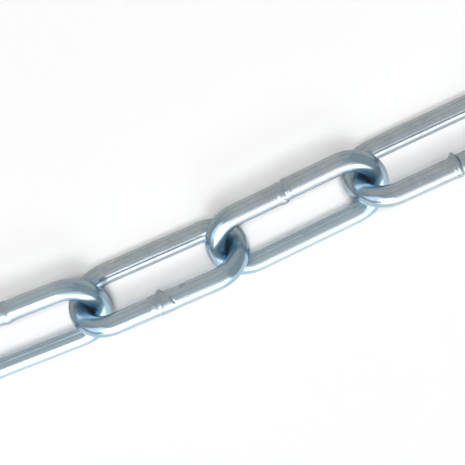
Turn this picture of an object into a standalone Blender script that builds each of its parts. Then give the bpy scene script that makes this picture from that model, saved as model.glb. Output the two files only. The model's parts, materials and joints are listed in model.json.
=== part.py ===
"""One metre of long-link steel chain, drawn out almost straight on a level floor.

Each link is one round wire, bent to a long loop, closed and resistance welded in the middle of one leg, then
zinc plated. The links are threaded through each other and lean to the two sides in turn. A link rests on the
floor with its lower leg, and its welded leg is the upper one.

Units are metres, +Z is up and the chain runs along X. The origin is on the floor, under the middle of the box.
"""

import math

import bpy
from mathutils import Matrix, Vector

# Driving dimensions
WIRE_DIAMETER = 0.006
INNER_LENGTH = 7 * WIRE_DIAMETER
INNER_WIDTH = 2 * WIRE_DIAMETER
LINK_GAP = 0.0003
LINK_COUNT = 24

# How the links lie: their lean from the floor, and the small turns that the chain makes to left and right
LEAN = math.radians(40)
WANDER = math.radians(2.3)
WANDER_STEP = math.radians(80)
WANDER_START = math.radians(-8)
STRAIGHTEST_LINK = 12

# The collar that the weld leaves
WELD_RISE = 0.0003
WELD_LENGTH = 0.0026
WELD_SHOULDER = 0.0008

# The wire as a twelve-sided tube, a little thicker at its corners, so that it holds as much steel as round wire
WIRE_SIDES = 12
CORNER_RADIUS = 1.035 * WIRE_DIAMETER / 2
CROWN_TURN = math.radians(30)

# Worked out from these: the bend's radius and the distances between the bars that the links hang on
CROWN_RADIUS = (INNER_WIDTH + WIRE_DIAMETER) / 2
BAR_SPACING = INNER_LENGTH + WIRE_DIAMETER
HINGE_TO_BAR = WIRE_DIAMETER + LINK_GAP
PITCH = BAR_SPACING - HINGE_TO_BAR
CENTRE_FROM_HINGE = BAR_SPACING / 2 - HINGE_TO_BAR

ZINC_COLOUR = (0.55, 0.60, 0.64, 1.0)
ZINC_ROUGHNESS = 0.28


def clear_scene():
    """Remove whatever the file holds."""
    for thing in list(bpy.data.objects):
        bpy.data.objects.remove(thing, do_unlink=True)


def make_zinc():
    """Bright zinc plating on drawn steel wire."""
    material = bpy.data.materials.new("zinc_plated_steel")
    material.use_nodes = True
    shader = material.node_tree.nodes["Principled BSDF"]
    shader.inputs["Base Color"].default_value = ZINC_COLOUR
    shader.inputs["Metallic"].default_value = 1.0
    shader.inputs["Roughness"].default_value = ZINC_ROUGHNESS
    material.diffuse_color = ZINC_COLOUR
    return material


def crown_points(side):
    """The bend at one end, as straight facets whose middles touch the true arc, in the link's own plane."""
    corner_distance = CROWN_RADIUS / math.cos(CROWN_TURN / 2)
    facets = round(math.pi / CROWN_TURN)
    bend_centre = CENTRE_FROM_HINGE + side * (BAR_SPACING / 2 - CROWN_RADIUS)
    points = []
    for step in range(facets):
        angle = -math.pi / 2 + (step + 0.5) * CROWN_TURN
        x = bend_centre + side * corner_distance * math.cos(angle)
        y = side * corner_distance * math.sin(angle)
        points.append((x, y, 1.0))
    return points


def weld_points():
    """The collar round the middle of the upper leg, run through from right to left."""
    collar = 1.0 + WELD_RISE / CORNER_RADIUS
    flat = WELD_LENGTH / 2
    foot = flat + WELD_SHOULDER
    steps = ((foot, 1.0), (flat, collar), (-flat, collar), (-foot, 1.0))
    return [(CENTRE_FROM_HINGE + offset, CROWN_RADIUS, thickness) for offset, thickness in steps]


def section_turn():
    """The turn of the twelve-sided wire that lays one of its facets flat on the floor.

    The floor lies a quarter turn less the lean away from the link's own plane. The corners at the bends are
    cut along the mitre, which narrows the wire by that angle's cosine in the link's plane.
    """
    to_floor = math.pi / 2 - LEAN
    return math.atan(math.tan(to_floor) / math.cos(CROWN_TURN / 2))


def sole_depth():
    """The distance from the lower leg's centre line down to the facet that it rests on."""
    to_floor = math.pi / 2 - LEAN
    corner = section_turn() - math.pi / WIRE_SIDES
    in_plane = CORNER_RADIUS * math.cos(CROWN_TURN / 2) * math.cos(corner)
    across = CORNER_RADIUS * math.sin(corner)
    return in_plane * math.cos(to_floor) + across * math.sin(to_floor)


def make_link(name, lean_side, material, collection):
    """One closed wire loop in its own XY plane, with its origin on the bar of the link before it."""
    curve = bpy.data.curves.new(name, "CURVE")
    curve.dimensions = "3D"
    curve.twist_mode = "Z_UP"
    curve.bevel_depth = CORNER_RADIUS
    curve.bevel_resolution = (WIRE_SIDES - 4) // 2
    points = crown_points(1) + weld_points() + crown_points(-1)
    spline = curve.splines.new("POLY")
    spline.points.add(len(points) - 1)
    spline.use_cyclic_u = True
    for point, (x, y, thickness) in zip(spline.points, points):
        point.co = (x, y, 0.0, 1.0)
        point.radius = thickness
        point.tilt = lean_side * (section_turn() - math.pi / WIRE_SIDES)
    curve.materials.append(material)
    link = bpy.data.objects.new(name, curve)
    collection.objects.link(link)
    return link


def link_heading(number):
    """The small turn of one link from the chain's own direction."""
    return WANDER * math.sin(WANDER_STEP * (number - STRAIGHTEST_LINK) + WANDER_START)


def link_placement(hinge, number):
    """A link's place in the world: odd links lift their upper leg on the left side, even ones on the right."""
    roll = LEAN if number % 2 else math.pi - LEAN
    turn = Matrix.Rotation(link_heading(number), 4, "Z") @ Matrix.Rotation(roll, 4, "X")
    return Matrix.Translation(hinge) @ turn


def thread_links(material, collection):
    """Make the links one by one, each hinged on the far bar of the one before."""
    hinge = Vector((0.0, 0.0, CROWN_RADIUS * math.sin(LEAN) + sole_depth()))
    links = []
    placements = []
    for number in range(1, LINK_COUNT + 1):
        lean_side = 1 if number % 2 else -1
        link = make_link(f"link_{number:02d}", lean_side, material, collection)
        placement = link_placement(hinge, number)
        if links:
            link.parent = links[-1]
            link.matrix_basis = placements[-1].inverted() @ placement
        else:
            link.matrix_basis = placement
        links.append(link)
        placements.append(placement)
        hinge = placement @ Vector((PITCH, 0.0, 0.0))
    return links


def centre_over_origin(links):
    """Slide the whole chain, by its first link, until the middle of its outline is over the origin."""
    bpy.context.view_layer.update()
    depsgraph = bpy.context.evaluated_depsgraph_get()
    corners = []
    for link in links:
        evaluated = link.evaluated_get(depsgraph)
        mesh = evaluated.to_mesh()
        corners.extend(evaluated.matrix_world @ vertex.co for vertex in mesh.vertices)
        evaluated.to_mesh_clear()
    for axis in (0, 1):
        values = [corner[axis] for corner in corners]
        links[0].location[axis] -= (min(values) + max(values)) / 2
    bpy.context.view_layer.update()


def build():
    clear_scene()
    collection = bpy.data.collections.new("long_link_chain")
    bpy.context.scene.collection.children.link(collection)
    links = thread_links(make_zinc(), collection)
    centre_over_origin(links)


build()
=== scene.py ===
import json
import math
import random

import bpy
import numpy as np
from mathutils import Matrix, Vector

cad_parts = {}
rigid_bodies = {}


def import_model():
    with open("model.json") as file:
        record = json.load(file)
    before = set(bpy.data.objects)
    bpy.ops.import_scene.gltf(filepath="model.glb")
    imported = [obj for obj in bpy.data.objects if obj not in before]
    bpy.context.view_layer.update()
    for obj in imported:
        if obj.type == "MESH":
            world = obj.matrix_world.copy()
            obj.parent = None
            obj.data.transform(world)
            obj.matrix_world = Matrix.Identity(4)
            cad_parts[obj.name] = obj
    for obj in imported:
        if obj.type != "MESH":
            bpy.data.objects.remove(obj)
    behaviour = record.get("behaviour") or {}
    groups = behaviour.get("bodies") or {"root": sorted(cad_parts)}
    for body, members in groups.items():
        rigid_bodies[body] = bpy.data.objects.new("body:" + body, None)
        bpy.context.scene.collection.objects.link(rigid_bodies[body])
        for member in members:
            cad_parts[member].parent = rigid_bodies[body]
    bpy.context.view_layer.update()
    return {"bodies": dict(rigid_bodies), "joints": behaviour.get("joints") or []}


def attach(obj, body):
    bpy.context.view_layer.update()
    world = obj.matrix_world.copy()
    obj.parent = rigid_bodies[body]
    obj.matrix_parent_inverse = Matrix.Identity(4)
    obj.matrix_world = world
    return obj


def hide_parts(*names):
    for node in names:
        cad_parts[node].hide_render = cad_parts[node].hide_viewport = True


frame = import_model()


# The bent wire
# A length of drawn 6 mm steel wire is cut from the coil and bent round two pins, until its ends meet in the
# middle of one leg. It is modelled in that order, from one cut end to the other, in the link's own XY plane,
# with the link's middle at the origin and the leg that gets the weld at +Y.

LEAN = math.radians(40)
CROWN_RADIUS = 0.009
BAR_SPACING = 0.048
RUBBING_GAP = 0.00003
seats = [Vector(joint["pos_m"]) for joint in frame["joints"]]
PITCH = (seats[1] - seats[0]).length
WIRE_RADIUS = seats[0].z - CROWN_RADIUS * math.sin(LEAN)
HALF_LEG = PITCH / 2 + WIRE_RADIUS + RUBBING_GAP / 2 - CROWN_RADIUS
WIRE_LENGTH = 4 * HALF_LEG + 2 * math.pi * CROWN_RADIUS

WIRE_SIDES = 96
CROWN_STEPS = 30
PLAIN_LEG_STEPS = 6
CUT_TO_MIDDLE = 0.00006
MERGE_DISTANCE = CUT_TO_MIDDLE / 10
FINE_REACH = 0.0040
FINE_RINGS = 34
COARSE_RINGS = 9
COARSE_GROWTH = 1.3


def rings_from_cut():
    """Distances of the wire's rings from the middle of its leg: close together near the weld, then wider."""
    fine = [CUT_TO_MIDDLE + (FINE_REACH - CUT_TO_MIDDLE) * step / FINE_RINGS
            for step in range(FINE_RINGS + 1)]
    coarse = [FINE_REACH + (HALF_LEG - FINE_REACH) * (step / COARSE_RINGS) ** COARSE_GROWTH
              for step in range(1, COARSE_RINGS + 1)]
    return fine + coarse


def draw_wire(distance):
    bpy.ops.mesh.extrude_region_move(TRANSFORM_OT_translate={"value": (distance, 0, 0)})


def bend_wire(side):
    bpy.ops.mesh.spin(steps=CROWN_STEPS, angle=math.pi, center=(side * HALF_LEG, 0, 0), axis=(0, 0, 1))


bpy.ops.object.select_all(action="DESELECT")
bpy.ops.mesh.primitive_circle_add(vertices=WIRE_SIDES, radius=WIRE_RADIUS,
                                  location=(CUT_TO_MIDDLE, CROWN_RADIUS, 0), rotation=(0, math.pi / 2, 0))
bent_wire = bpy.context.object
bent_wire.name = "bent_wire"
bpy.ops.object.transform_apply(location=True, rotation=True, scale=True)
bpy.ops.object.mode_set(mode="EDIT")
bpy.ops.mesh.select_all(action="SELECT")
rings = rings_from_cut()
for near, far in zip(rings, rings[1:]):
    draw_wire(far - near)
bend_wire(1)
for _ in range(PLAIN_LEG_STEPS):
    draw_wire(-2 * HALF_LEG / PLAIN_LEG_STEPS)
bend_wire(-1)
for far, near in zip(rings[::-1], rings[-2::-1]):
    draw_wire(far - near)
bpy.ops.mesh.select_all(action="SELECT")
bpy.ops.mesh.remove_doubles(threshold=MERGE_DISTANCE)
bpy.ops.mesh.select_all(action="DESELECT")
bpy.ops.mesh.select_non_manifold()
bpy.ops.mesh.bridge_edge_loops()
bpy.ops.mesh.select_all(action="SELECT")
bpy.ops.mesh.normals_make_consistent(inside=False)
bpy.ops.object.mode_set(mode="OBJECT")
bpy.ops.object.shade_smooth()


def mesh_points(mesh):
    points = np.empty(len(mesh.vertices) * 3)
    mesh.vertices.foreach_get("co", points)
    return points.reshape(-1, 3)


def straightened(points):
    """Each point's place on the wire before it was bent: its distance from the weld, and across the wire."""
    x, y, z = points.T
    past_leg = np.maximum(np.abs(x) - HALF_LEG, 0)
    outward = np.hypot(past_leg, y) - CROWN_RADIUS
    turned = np.where(past_leg > 0, np.arctan2(past_leg, y), np.where(y > 0, 0, math.pi))
    on_lower_leg = (past_leg == 0) & (y < 0)
    from_middle = np.where(on_lower_leg, 2 * HALF_LEG - np.abs(x), np.minimum(np.abs(x), HALF_LEG))
    distance = from_middle + CROWN_RADIUS * turned
    side = np.where(x > 0, 1, -1)
    return distance * side, outward, z


link_points = mesh_points(bent_wire.data)
along, outward, sideways = straightened(link_points)
round_wire = np.arctan2(sideways, outward)


# The weld
# The cut ends are pressed together red hot until they fuse. The joint swells to a collar, a tool trims its
# outside in flats, and a burr of pressed-out steel stays where no tool reaches. Places are distances to the
# right of the middle of the leg, and degrees round the wire from the link's outer side.

SHOULDER = 0.00022
RING_WIDTH = 0.00020
BURR_SPREAD = 0.80
BURR_RAGGEDNESS = 0.12
BURR_TEETH = 5
BURR_RIPPLE = 4200
LEAST_TRIM_COSINE = 0.5
NICK_WIDTH = 0.00022


def weld_by_chance(number):
    """The weld of a link that the camera doesn't show: of the same kind, with its own sizes."""
    chance = random.Random(number)
    seam = chance.uniform(-0.0015, 0.0015)
    half = chance.uniform(0.0009, 0.0018)
    collar_end = seam + chance.uniform(0.8, 1.2) * half
    nick_start = (seam + half, chance.uniform(-90, 0))
    nick_end = (seam + 1.3 * half, chance.uniform(0, 90))
    return {
        "seam": seam,
        "collar": (seam - half, collar_end, chance.uniform(0.00006, 0.00014)),
        "rings": [(seam - half, chance.uniform(-0.0004, 0.0004), chance.uniform(0.00005, 0.00012)),
                  (seam, chance.uniform(-0.0003, 0.0003), chance.uniform(-0.00010, 0.00008))],
        "burr": (seam + chance.uniform(-0.0005, 0.0005), chance.uniform(135, 225)),
        "burr_size": (chance.uniform(0.0003, 0.0008), chance.uniform(0.0003, 0.0011),
                      chance.uniform(0.0003, 0.0008)),
        "flat": (seam - half, seam + half, chance.uniform(-80, 80), chance.uniform(0.00008, 0.00020)),
        "step": chance.uniform(-0.0003, 0.0003),
        "nicks": [(nick_start, nick_end, 0.00010)],
    }


# Collar: start, end and rise. Ring: middle, skew and height. Burr: place, height and reach to each side.
# Flat: start, end, side and depth. Step: by how much the cut ends miss. Nick: its two ends and its depth.
SEEN_WELDS = {
    11: {"seam": -0.0005,
         "collar": (-0.0020, 0.0012, 0.00010),
         "rings": [(-0.0005, 0.0002, -0.00006)],
         "burr": (-0.0003, 135),
         "burr_size": (0.00045, 0.0003, 0.0017),
         "flat": (-0.0020, -0.0006, 40, 0.00016),
         "step": 0.00018,
         "nicks": [((-0.0007, 30), (-0.0006, 58), 0.00016), ((-0.0004, 118), (-0.0003, 145), 0.00030)]},
    12: {"seam": -0.0010,
         "collar": (-0.0023, 0.0026, 0.00008),
         "rings": [(-0.0031, 0.0004, 0.00005), (-0.0023, 0.0006, 0.00012), (-0.0017, 0.0001, -0.00006),
                   (-0.0011, -0.0004, 0.00014)],
         "burr": (-0.0003, 214),
         "burr_size": (0.00082, 0.0012, 0.0005),
         "flat": (-0.0009, 0.0026, 285, 0.00022),
         "step": 0.00006,
         "nicks": [((0.0020, -66), (0.0027, -28), 0.00018), ((0.0058, -120), (0.0060, -100), 0.00006)]},
    13: {"seam": -0.0003,
         "collar": (-0.0025, 0.0010, 0.00010),
         "rings": [(-0.0002, 0.0005, -0.00006)],
         "burr": (-0.0010, 112),
         "burr_size": (0.00018, 0.0014, 0.0006),
         "flat": (-0.0008, 0.0013, 32, 0.00032),
         "step": 0.00042,
         "nicks": [((-0.0006, -62), (-0.0005, -22), 0.00036), ((-0.0014, 90), (-0.0012, 97), 0.00012),
                   ((-0.0008, 98), (-0.0005, 118), 0.00018)]},
    14: {"seam": 0.0018,
         "collar": (-0.0001, 0.0019, 0.00014),
         "rings": [(0.0013, 0.0003, 0.00010), (0.0021, 0.0002, -0.00010)],
         "burr": (0.0015, 216),
         "burr_size": (0.00095, 0.0009, 0.00028),
         "flat": (0.0020, 0.0034, 290, 0.00010),
         "step": -0.00010,
         "nicks": [((0.0018, -140), (0.0021, -50), 0.00020), ((0.0004, 0), (0.0006, 6), 0.00008)]},
}


def bell(distance, width):
    return np.exp(-(distance / width) ** 2)


def plateau(place, start, end):
    return (np.tanh((place - start) / SHOULDER) - np.tanh((place - end) / SHOULDER)) / 2


def angle_from(angle, degrees):
    return (angle - math.radians(degrees) + math.pi) % (2 * math.pi) - math.pi


def distance_from_nick(place, start, end):
    """How far each point of the wire's surface, laid flat, is from the scratch between two places on it."""
    run = end[0] - start[0]
    rise = WIRE_RADIUS * math.radians(end[1] - start[1])
    right = place - start[0]
    up = WIRE_RADIUS * angle_from(round_wire, start[1])
    passed = np.clip((right * run + up * rise) / (run * run + rise * rise), 0, 1)
    return np.hypot(right - passed * run, up - passed * rise)


def welded(points, marks):
    """The link's points with the collar, rings, burr, flat, nicks and mismatched ends of its weld.

    The second result is how deep in a nick each point lies, where the skin is darkened.
    """
    towards_weld = np.clip(1 - np.abs(points[:, 0]) / HALF_LEG, 0, 1)
    place = points[:, 0] + marks["seam"] * towards_weld
    start, end, rise = marks["collar"]
    radius = WIRE_RADIUS + rise * plateau(place, start, end)
    for middle, skew, height in marks["rings"]:
        radius += height * bell(place - middle - skew * np.sin(round_wire), RING_WIDTH)
    middle, degrees = marks["burr"]
    height, left, right = marks["burr_size"]
    reach = np.where(place < middle, left, right)
    ragged = 1 + BURR_RAGGEDNESS * np.sin(BURR_TEETH * round_wire) * np.sin(BURR_RIPPLE * place)
    burr_side = bell(angle_from(round_wire, degrees), BURR_SPREAD)
    radius += height * bell(place - middle, reach) * burr_side * ragged
    start, end, degrees, depth = marks["flat"]
    towards_flat = np.maximum(np.cos(angle_from(round_wire, degrees)), LEAST_TRIM_COSINE)
    trimmed = (WIRE_RADIUS + rise - depth) / towards_flat
    radius += plateau(place, start, end) * (np.minimum(radius, trimmed) - radius)
    # How deep in a nick each point lies, where the skin is darkened
    nick_darkening = np.zeros(len(points))
    for start, end, depth in marks["nicks"]:
        nick = bell(distance_from_nick(place, start, end), NICK_WIDTH)
        radius -= depth * nick
        nick_darkening = np.maximum(nick_darkening, nick)
    mismatch = marks["step"] / 2 * towards_weld * np.tanh((place - marks["seam"]) / SHOULDER)
    shaped = np.column_stack((place, CROWN_RADIUS + radius * np.cos(round_wire) + mismatch,
                              radius * np.sin(round_wire)))
    on_welded_leg = (points[:, 1] > 0) & (np.abs(points[:, 0]) < HALF_LEG)
    return np.where(on_welded_leg[:, None], shaped, points), on_welded_leg * nick_darkening


# The plating
# The finished chain is zinc plated and blue passivated: a bright satin skin, bluer on some legs than others,
# over the fine lines that the drawing die left. It is duller round the welds, darker in their nicks, and
# rubbed bright where the links bear. Inside the bends the blue passivate colour is deepened as painted shade.

BRIGHT_ZINC = (0.57, 0.635, 0.68, 1)
CLOUDED_ZINC = (0.49, 0.56, 0.61, 1)
FILMED_ZINC = (0.55, 0.67, 0.735, 1)
# The blue passivate colour, deepened into painted shade inside the bends
PASSIVATE_AND_BEND_SHADE = (0.17, 0.36, 0.48, 1)
BURNT_ZINC = (0.43, 0.485, 0.515, 1)
RUBBED_STEEL = (0.61, 0.635, 0.65, 1)
# The darker colour in the nicks
NICK_DARK = (0.09, 0.10, 0.11, 1)
GRAZING_TINT = (0.85, 0.92, 1.0, 1)

CLOUD_SCALE = 230
GRAIN_SCALE = 7000
GRAIN_SHARE = 0.25
DIE_LINE_STRETCH = (60, 2600, 2600)
DIE_LINE_DEPTH = 0.00002
HAMMERING_STRETCH = (170, 330, 330)
HAMMERING_DEPTH = 0.00006
PIT_SCALE = 330
PIT_RIM = 0.13
PIT_BOTTOM = 0.04
PIT_DEPTH = 0.00003

PIT_COVER = 0.6
RUBBED_COVER = 0.6
NICK_DARK_COVER = 0.55
SATIN_DULLNESS = (0.15, 0.21)
CLOUD_DULLNESS = (0.0, 0.05)
WELD_DULLNESS = 0.10
PIT_DULLNESS = 0.20
NICK_DULLNESS = 0.25
RUBBED_GLOSS = 0.08
DEEP_BLUE_METALLIC = 0.88

zinc = bpy.data.materials.new("bright_zinc_plating")
zinc.use_nodes = True
nodes = zinc.node_tree.nodes
ties = zinc.node_tree.links
skin = nodes["Principled BSDF"]
skin.inputs["Specular Tint"].default_value = GRAZING_TINT


def add_node(kind, inputs=None, **settings):
    node = nodes.new(kind)
    for name, value in settings.items():
        setattr(node, name, value)
    for name, value in (inputs or {}).items():
        node.inputs[name].default_value = value
    return node


def cloudy(coordinates, scale, detail):
    noise = add_node("ShaderNodeTexNoise", {"Scale": scale, "Detail": detail})
    ties.new(coordinates, noise.inputs["Vector"])
    return noise.outputs["Fac"]


def stretched(coordinates, scale):
    mapping = add_node("ShaderNodeMapping", {"Scale": scale})
    ties.new(coordinates, mapping.inputs["Vector"])
    return mapping.outputs["Vector"]


def between(value, low, high, result=(0.0, 1.0)):
    """A value's place between low and high, spread over the two ends of the result."""
    spread = add_node("ShaderNodeMapRange", {"From Min": low, "From Max": high, "To Min": result[0],
                                             "To Max": result[1]})
    ties.new(value, spread.inputs["Value"])
    return spread.outputs["Result"]


def combine(operation, first, second):
    sums = add_node("ShaderNodeMath", operation=operation)
    for socket, value in zip(sums.inputs, (first, second)):
        if isinstance(value, float):
            socket.default_value = value
        else:
            ties.new(value, socket)
    return sums.outputs["Value"]


def blend_to(colour, mask, base):
    mix = add_node("ShaderNodeMix", data_type="RGBA")
    mix.inputs["B"].default_value = colour
    ties.new(mask, mix.inputs["Factor"])
    if isinstance(base, tuple):
        mix.inputs["A"].default_value = base
    else:
        ties.new(base, mix.inputs["A"])
    return mix.outputs["Result"]


def bumped(height, strength, distance, under=None):
    bump = add_node("ShaderNodeBump", {"Strength": strength, "Distance": distance})
    ties.new(height, bump.inputs["Height"])
    if under:
        ties.new(under, bump.inputs["Normal"])
    return bump.outputs["Normal"]


position = add_node("ShaderNodeTexCoord").outputs["Object"]
drawn = add_node("ShaderNodeAttribute", attribute_name="drawn_wire").outputs["Vector"]
# Painted shade inside the bends: strongest on the inner side of the wire
bend_shade_mask = add_node("ShaderNodeAttribute", attribute_name="painted_bend_shade").outputs["Fac"]
filmed = add_node("ShaderNodeAttribute", attribute_name="blue_film").outputs["Fac"]
heated = add_node("ShaderNodeAttribute", attribute_name="weld_heat").outputs["Fac"]
rubbed = add_node("ShaderNodeAttribute", attribute_name="bearing").outputs["Fac"]
nicked = add_node("ShaderNodeAttribute", attribute_name="nick_darkening").outputs["Fac"]

clouds = cloudy(position, CLOUD_SCALE, detail=3)
grain = cloudy(position, GRAIN_SCALE, detail=2)
die_lines = cloudy(stretched(drawn, DIE_LINE_STRETCH), scale=1, detail=2)
hammering = cloudy(stretched(drawn, HAMMERING_STRETCH), scale=1, detail=1)

cells = add_node("ShaderNodeTexVoronoi", {"Scale": PIT_SCALE})
ties.new(position, cells.inputs["Vector"])
pitted_cells = between(cells.outputs["Color"], 0.68, 0.70)
pits = combine("MULTIPLY", between(cells.outputs["Distance"], PIT_RIM, PIT_BOTTOM), pitted_cells)

film_cover = combine("MULTIPLY", filmed, between(clouds, 0.3, 0.7, (1.0, 0.7)))
bend_shade_cover = combine("MULTIPLY", bend_shade_mask, between(clouds, 0.2, 0.6, (0.6, 0.9)))
burnt_cover = combine("MULTIPLY", heated, between(clouds, 0.3, 0.7, (0.3, 0.8)))

colour = blend_to(CLOUDED_ZINC, between(clouds, 0.35, 0.70), BRIGHT_ZINC)
colour = blend_to(FILMED_ZINC, film_cover, colour)
# Painted shade inside the bends, in the blue passivate colour
colour = blend_to(PASSIVATE_AND_BEND_SHADE, bend_shade_cover, colour)
colour = blend_to(BURNT_ZINC, burnt_cover, colour)
colour = blend_to(BURNT_ZINC, combine("MULTIPLY", pits, PIT_COVER), colour)
colour = blend_to(RUBBED_STEEL, combine("MULTIPLY", rubbed, RUBBED_COVER), colour)
# The nicks are darkened
colour = blend_to(NICK_DARK, combine("MULTIPLY", nicked, NICK_DARK_COVER), colour)
ties.new(colour, skin.inputs["Base Color"])

# Where the painted shade in the bends is strongest, the skin is a little less metallic
ties.new(between(bend_shade_mask, 0.5, 1.0, (1.0, DEEP_BLUE_METALLIC)), skin.inputs["Metallic"])

dullness = between(grain, 0.3, 0.7, SATIN_DULLNESS)
dullness = combine("ADD", dullness, between(clouds, 0.3, 0.7, CLOUD_DULLNESS))
dullness = combine("ADD", dullness, combine("MULTIPLY", heated, WELD_DULLNESS))
dullness = combine("ADD", dullness, combine("MULTIPLY", pits, PIT_DULLNESS))
dullness = combine("SUBTRACT", dullness, combine("MULTIPLY", rubbed, RUBBED_GLOSS))
dullness = combine("ADD", dullness, combine("MULTIPLY", nicked, NICK_DULLNESS))
ties.new(dullness, skin.inputs["Roughness"])

grain_and_pits = combine("SUBTRACT", combine("MULTIPLY", grain, GRAIN_SHARE), pits)
normal = bumped(hammering, strength=0.09, distance=HAMMERING_DEPTH)
normal = bumped(die_lines, strength=0.25, distance=DIE_LINE_DEPTH, under=normal)
normal = bumped(grain_and_pits, strength=0.5, distance=PIT_DEPTH, under=normal)
ties.new(normal, skin.inputs["Normal"])


# The chain as laid
# Twenty-four links are threaded through each other before each is welded. They lie with one leg on the floor
# and lean to the two sides in turn, and the chain winds a little to left and right.

WANDER = math.radians(2.3)
WANDER_STEP = math.radians(80)
WANDER_START = math.radians(-8)
STRAIGHTEST_LINK = 12

# How strong the painted shade inside the bends is on the inner side, the flanks and the outside of the wire,
# and how far into the bend it fades in
BEND_SHADE_INSIDE = 1.0
BEND_SHADE_FLANK = 0.40
BEND_SHADE_OUTSIDE = 0.44
BEND_SHADE_FADE = 0.5 * CROWN_RADIUS
BEARING_TURN = 0.45
BEARING_SPREAD = 0.5
HEAT_REACH = 0.0032
# How blue the welded leg and the floor leg of each link in the camera's view are
SEEN_BLUE_FILMS = {11: (1.0, 1.0), 12: (0.7, 0.0), 13: (0.1, 1.0), 14: (0.0, 0.0)}

past_leg = np.maximum(np.abs(link_points[:, 0]) - HALF_LEG, 0)
into_crown = np.clip(past_leg / BEND_SHADE_FADE, 0, 1)
facing_out = np.cos(round_wire)
# Painted shade inside the bends, in the blue passivate colour
bend_shade_slope = (BEND_SHADE_OUTSIDE - BEND_SHADE_INSIDE) / 2
bend_shade_dip = (BEND_SHADE_OUTSIDE + BEND_SHADE_INSIDE) / 2 - BEND_SHADE_FLANK
painted_bend_shade = into_crown * (BEND_SHADE_FLANK + bend_shade_slope * facing_out + bend_shade_dip * facing_out ** 2)
crown_turn = np.arctan2(link_points[:, 1], past_leg)
on_inner_side = bell(angle_from(round_wire, 180), BEARING_SPREAD)
bearing = (past_leg > 0) * bell(crown_turn, BEARING_TURN) * on_inner_side
weld_heat = (link_points[:, 1] > 0) * bell(link_points[:, 0], HEAT_REACH)
towards_welded_leg = np.clip(0.5 + link_points[:, 1] / (2 * CROWN_RADIUS), 0, 1)


def link_turn(number):
    heading = WANDER * math.sin(WANDER_STEP * (number - STRAIGHTEST_LINK) + WANDER_START)
    roll = LEAN if number % 2 else math.pi - LEAN
    return Matrix.Rotation(heading, 4, "Z") @ Matrix.Rotation(roll, 4, "X")


def write_points(mesh, points):
    mesh.vertices.foreach_set("co", points.ravel())
    mesh.update()


def write_attribute(mesh, name, kind, field, values):
    attribute = mesh.attributes.new(name, kind, "POINT")
    attribute.data.foreach_set(field, values.ravel())


def lay_link(number, seat):
    node = f"link_{number:02d}"
    link = bpy.data.objects.new(f"welded_{node}", bent_wire.data.copy())
    bpy.context.scene.collection.objects.link(link)
    marks = SEEN_WELDS.get(number) or weld_by_chance(number)
    welded_points, nick_darkening = welded(link_points, marks)
    write_points(link.data, welded_points)
    write_attribute(link.data, "drawn_wire", "FLOAT_VECTOR", "vector",
                    np.column_stack((along + number * WIRE_LENGTH, outward, sideways)))
    # The painted shade inside the bends
    write_attribute(link.data, "painted_bend_shade", "FLOAT", "value", painted_bend_shade)
    write_attribute(link.data, "bearing", "FLOAT", "value", bearing)
    write_attribute(link.data, "weld_heat", "FLOAT", "value", weld_heat)
    write_attribute(link.data, "nick_darkening", "FLOAT", "value", nick_darkening)
    chance = random.Random(-number)
    on_welded_leg, on_floor_leg = SEEN_BLUE_FILMS.get(number, (chance.random(), chance.random()))
    blue_film = on_floor_leg + (on_welded_leg - on_floor_leg) * towards_welded_leg
    write_attribute(link.data, "blue_film", "FLOAT", "value", blue_film)
    middle = Matrix.Translation((PITCH - BAR_SPACING / 2, 0, 0))
    link.data.transform(Matrix.Translation(seat) @ link_turn(number) @ middle)
    link.data.materials.append(zinc)
    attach(link, node)
    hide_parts(node)


LINK_COUNT = len(frame["bodies"])
seat = seats[0] - link_turn(1) @ Vector((PITCH, 0, 0))
for number in range(1, LINK_COUNT + 1):
    lay_link(number, seat)
    seat = seat + link_turn(number) @ Vector((PITCH, 0, 0))
bpy.data.objects.remove(bent_wire)


# The floor
# The chain lies on a plain white surface that is far larger than it is. Its far half carries a painted
# reflection: it is as white as the rest, but painted grey where the wire mirrors it, and that keeps the
# wire's far edges dark.

FLOOR_SIZE = 6
PAPER_WHITE = (0.93, 0.93, 0.93, 1)
# The grey painted into the floor's reflection in the steel, and where across the floor it begins and is full
PAINTED_REFLECTION_GREY = (0.60, 0.56, 0.52, 1)
PAPER_ROUGHNESS = 0.9
REFLECTION_SHADE_START = -0.001
REFLECTION_SHADE_FULL = 0.006

bpy.ops.object.select_all(action="DESELECT")
bpy.ops.mesh.primitive_plane_add(size=FLOOR_SIZE)
floor = bpy.context.object
floor.name = "floor"
paper = bpy.data.materials.new("white_paper")
paper.use_nodes = True
nodes = paper.node_tree.nodes
ties = paper.node_tree.links
sheet = nodes["Principled BSDF"]
sheet.inputs["Roughness"].default_value = PAPER_ROUGHNESS
sheet.inputs["Specular IOR Level"].default_value = 0.0
seen_in_steel = add_node("ShaderNodeLightPath").outputs["Is Glossy Ray"]
spot = add_node("ShaderNodeSeparateXYZ")
ties.new(add_node("ShaderNodeTexCoord").outputs["Object"], spot.inputs["Vector"])
# Painted reflection: grey on the floor's far half, only in rays that the steel mirrors
painted_reflection_mask = combine("MULTIPLY", seen_in_steel, between(spot.outputs["Y"], REFLECTION_SHADE_START, REFLECTION_SHADE_FULL))
ties.new(blend_to(PAINTED_REFLECTION_GREY, painted_reflection_mask, PAPER_WHITE), sheet.inputs["Base Color"])
floor.data.materials.append(paper)


# The light
# A wide white window of light stands low on the near side of the chain and bends round towards its left end.
# Warm light comes from the far side, and a soft grey room closes it all. As flags and scrims do in a studio,
# the steel mirrors only the windows and the walls, and four more lamps light the white surface by themselves.

LAMP_DISTANCE = 4
ROOM_GREY = (0.415, 0.447, 0.468, 1)


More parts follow.
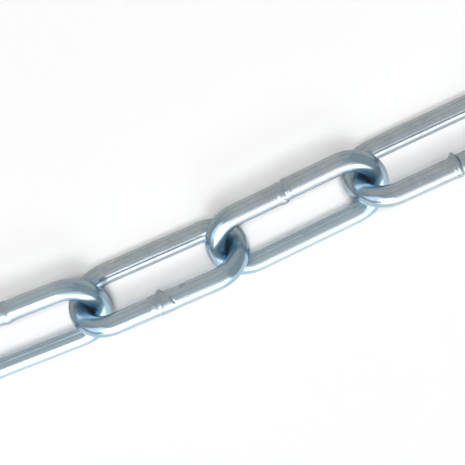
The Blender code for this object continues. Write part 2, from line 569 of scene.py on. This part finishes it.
def soft_box(name, azimuth, elevation, width, height, glow, mirrored=True):
    """A lit rectangle that faces the origin, with its radiance as red, green and blue.

    Either the steel mirrors it and it lights nothing else, or it lights and nothing mirrors it.
    """
    light = bpy.data.lights.new(name, "AREA")
    light.shape = "RECTANGLE"
    light.size = width
    light.size_y = height
    light.energy = math.pi * width * height * max(glow)
    light.color = [part / max(glow) for part in glow]
    lamp = bpy.data.objects.new(name, light)
    sideways_turn = Matrix.Rotation(math.radians(azimuth), 4, "Z")
    upward_turn = Matrix.Rotation(math.radians(90 - elevation), 4, "Y")
    outward_move = Matrix.Translation((0, 0, LAMP_DISTANCE))
    upright = Matrix.Rotation(math.radians(90), 4, "Z")
    lamp.matrix_world = sideways_turn @ upward_turn @ outward_move @ upright
    lamp.visible_camera = False
    lamp.visible_glossy = mirrored
    lamp.visible_diffuse = not mirrored
    bpy.context.scene.collection.objects.link(lamp)


soft_box("near_window", 262, 26, 5.1, 2.5, (2.0, 2.0, 2.05))
soft_box("near_corner_window", 226, 44, 2.1, 2.1, (1.95, 1.95, 2.0))
soft_box("near_low_window", 262, 6, 6.9, 0.80, (1.4, 1.5, 1.65))
soft_box("near_high_box", 266, 56, 4.3, 1.1, (0.65, 0.63, 0.62))
soft_box("left_window", 190, 38, 2.4, 2.9, (0.86, 0.95, 1.07))
soft_box("top_box", 0, 90, 2.7, 3.2, (0.18, 0.15, 0.13))
soft_box("far_wall", 90, 36, 6.4, 4.0, (0.16, 0.12, 0.08))
soft_box("table_top_light", 336, 86, 0.93, 0.93, (31.2, 31.0, 30.7), mirrored=False)
soft_box("table_near_light", 270, 69, 1.07, 1.07, (15.1, 15.4, 15.8), mirrored=False)
soft_box("table_low_light", 270, 42, 1.07, 1.07, (4.4, 4.5, 4.7), mirrored=False)
soft_box("table_room_light", 0, 90, 6.4, 6.4, (0.505, 0.495, 0.475), mirrored=False)

room = bpy.data.worlds.new("room")
room.use_nodes = True
room.node_tree.nodes["Background"].inputs["Color"].default_value = ROOM_GREY
room.cycles_visibility.diffuse = False
bpy.context.scene.world = room
bpy.context.scene.view_settings.view_transform = "Standard"


# The camera
# It looks almost straight down on the middle of the chain, turned so that the chain rises to the right.

AIM = Vector((0.00275, 0.00199, 0.0088))
DISTANCE = 0.240
CHAIN_RISE = math.radians(23.83)
LEFTWARD_TILT = math.radians(3.63)
SENSOR_WIDTH = 36
FRAME_WIDTH = 465
FOCAL_PIXELS = 880
NEAREST_SEEN = 0.01

camera_data = bpy.data.cameras.new("camera")
camera_data.sensor_width = SENSOR_WIDTH
camera_data.lens = FOCAL_PIXELS * SENSOR_WIDTH / FRAME_WIDTH
camera_data.clip_start = NEAREST_SEEN
camera = bpy.data.objects.new("camera", camera_data)
turn = Matrix.Rotation(-CHAIN_RISE, 4, "Z") @ Matrix.Rotation(LEFTWARD_TILT, 4, "Y")
camera.matrix_world = Matrix.Translation(AIM) @ turn @ Matrix.Translation((0, 0, DISTANCE))
bpy.context.scene.collection.objects.link(camera)
bpy.context.scene.camera = camera
